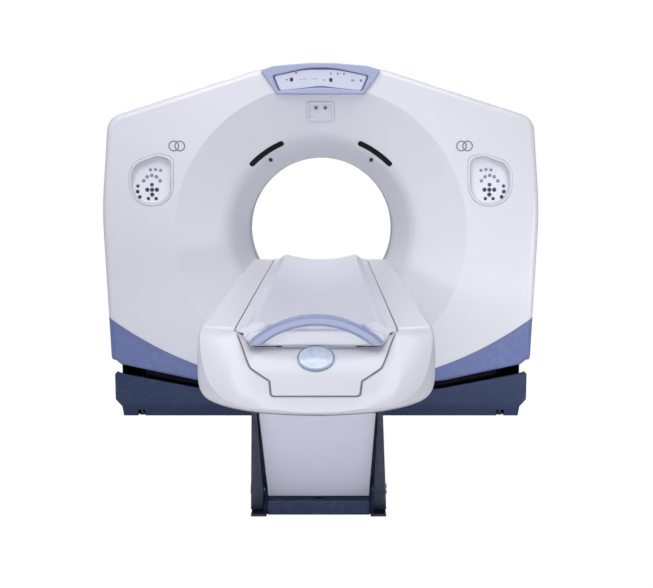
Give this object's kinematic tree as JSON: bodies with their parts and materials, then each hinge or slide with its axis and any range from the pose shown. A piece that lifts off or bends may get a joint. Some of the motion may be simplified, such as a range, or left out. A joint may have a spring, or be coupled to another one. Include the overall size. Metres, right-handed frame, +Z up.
{
  "type": "ct scanner",
  "caption": "Ring-shaped scanner gantry with a wide funnel bore on a tilting frame, and a long patient table whose cradle slides through the bore.",
  "frame": {"origin": "on the floor, straight below the middle of the bore", "axes": "+X to the right as seen from the table's foot, +Y from the table towards the gantry along the bore, +Z up"},
  "size_m": [2.2708, 3.491, 1.8357],
  "materials": {
    "shell_white": "smooth semi-gloss moulding",
    "trim_blue": "smooth semi-gloss moulding",
    "bezel_blue": "smooth semi-gloss moulding",
    "display_face": "flat display cover",
    "dark_lens": "polished dark plastic",
    "pod_shell": "smooth moulding",
    "key_mat": "soft membrane",
    "window_film": "thin beam window",
    "base_navy": "satin paint",
    "leg_black": "satin paint",
    "leg_panel": "satin paint",
    "frame_grey": "satin paint",
    "steel": "machined",
    "aluminium": "machined",
    "tungsten": "ground",
    "housing_grey": "satin paint",
    "motor_black": "satin paint",
    "copper_ring": "turned",
    "rubber_black": "ribbed",
    "cradle_grey": "smooth carbon-fibre laminate, painted",
    "skirt_black": "matt moulding",
    "badge_pearl": "pearl"
  },
  "bodies": {
    "base": {"gantry_base": "base_navy", "levelling_feet": "steel", "towers": "frame_grey", "tilt_bushes": "steel", "tilt_motor": "motor_black", "cable_duct": "leg_black", "table_foot": "leg_black", "toe_kick": "base_navy", "foot_pins": "steel"},
    "gantry": {"tilt_frame": "frame_grey", "tilt_sector": "steel", "cover_standoffs": "steel", "front_cover": "shell_white", "rear_cover": "shell_white", "front_trims": "trim_blue", "rear_trims": "trim_blue", "side_covers": "shell_white", "top_cover": "shell_white", "lower_skirts": "skirt_black", "scan_window": "window_film", "display_bezel": "bezel_blue", "display_panel": "display_face", "intercom_housing": "shell_white", "sensor_lenses": "dark_lens", "control_pods": "pod_shell", "key_mats": "key_mat", "laser_windows": "dark_lens", "bearing_outer_race": "steel", "brush_block": "motor_black", "drive_motor": "motor_black", "drive_belt": "rubber_black"},
    "tilt_pinion_body": {"tilt_pinion": "steel"},
    "rotor": {"rotor_drum": "aluminium", "bearing_inner_race": "steel", "slip_ring": "copper_ring", "x_ray_tube": "housing_grey", "collimator": "aluminium", "detector_arc": "aluminium", "readout_electronics": "housing_grey", "high_voltage_tank": "housing_grey", "inverter_box": "housing_grey", "oil_cooler": "housing_grey", "counterweight": "tungsten"},
    "front_blade": {"collimator_blade_front": "tungsten"},
    "rear_blade": {"collimator_blade_rear": "tungsten"},
    "pulley": {"drive_pulley": "steel"},
    "front_leg_body": {"front_leg": "leg_black", "leg_cover": "leg_panel"},
    "rear_leg_body": {"rear_leg": "leg_black"},
    "table": {"table_frame": "frame_grey", "frame_pins": "steel", "guide_rails": "steel", "table_cover": "shell_white", "nose_panel": "shell_white", "nose_badge": "badge_pearl", "cradle_motor": "motor_black"},
    "cradle_body": {"cradle": "cradle_grey", "foot_step": "shell_white", "pull_handle": "bezel_blue"},
    "roller": {"drive_roller": "rubber_black"}
  },
  "joints": [
    {"name": "gantry_tilt", "type": "hinge", "parent": "base", "child": "gantry", "pos_m": [0, 0, 0.965], "axis": [1, 0, 0], "range_deg": [-30, 30]},
    {"name": "tilt_pinion_turn", "type": "hinge", "parent": "base", "child": "tilt_pinion_body", "pos_m": [-0.9105, 0, 0.5009], "axis": [1, 0, 0], "range_deg": [-188, 188]},
    {"name": "rotor_spin", "type": "hinge", "parent": "gantry", "child": "rotor", "pos_m": [0, 0, 0.965], "axis": [0, 1, 0], "continuous": true},
    {"name": "pulley_spin", "type": "hinge", "parent": "gantry", "child": "pulley", "pos_m": [0.81568, 0.1, 0.58464], "axis": [0, 1, 0], "continuous": true},
    {"name": "collimator_front_blade", "type": "slide", "parent": "rotor", "child": "front_blade", "axis": [0, -1, 0], "range_m": [-0.007, 0.02]},
    {"name": "collimator_rear_blade", "type": "slide", "parent": "rotor", "child": "rear_blade", "axis": [0, 1, 0], "range_m": [-0.007, 0.02]},
    {"name": "table_lift", "type": "hinge", "parent": "base", "child": "front_leg_body", "pos_m": [0, -1.935, 0.09], "axis": [-1, 0, 0], "range_deg": [-38, 20.2]},
    {"name": "table_level", "type": "hinge", "parent": "front_leg_body", "child": "table", "pos_m": [0, -2.44276, 0.57185], "axis": [-1, 0, 0], "range_deg": [-20.3, 38.1]},
    {"name": "rear_leg_swing", "type": "hinge", "parent": "base", "child": "rear_leg_body", "pos_m": [0, -1.185, 0.09], "axis": [-1, 0, 0], "range_deg": [-38.1, 20.3]},
    {"name": "cradle_travel", "type": "slide", "parent": "table", "child": "cradle_body", "axis": [0, 1, 0], "range_m": [0, 1.7]},
    {"name": "drive_roller_turn", "type": "hinge", "parent": "table", "child": "roller", "pos_m": [0, -0.98, 0.7698], "axis": [-1, 0, 0], "range_deg": [-1, 3760]}
  ],
  "couplings": [
    {"joint": "tilt_pinion_turn", "follows": "gantry_tilt", "ratio": -6.25},
    {"joint": "pulley_spin", "follows": "rotor_spin", "ratio": 12.5},
    {"joint": "collimator_rear_blade", "follows": "collimator_front_blade", "ratio": 1},
    {"joint": "table_level", "follows": "table_lift", "ratio": -1},
    {"joint": "rear_leg_swing", "follows": "table_lift", "ratio": 1},
    {"joint": "drive_roller_turn", "follows": "cradle_travel", "rad_per_m": 38.462}
  ]
}
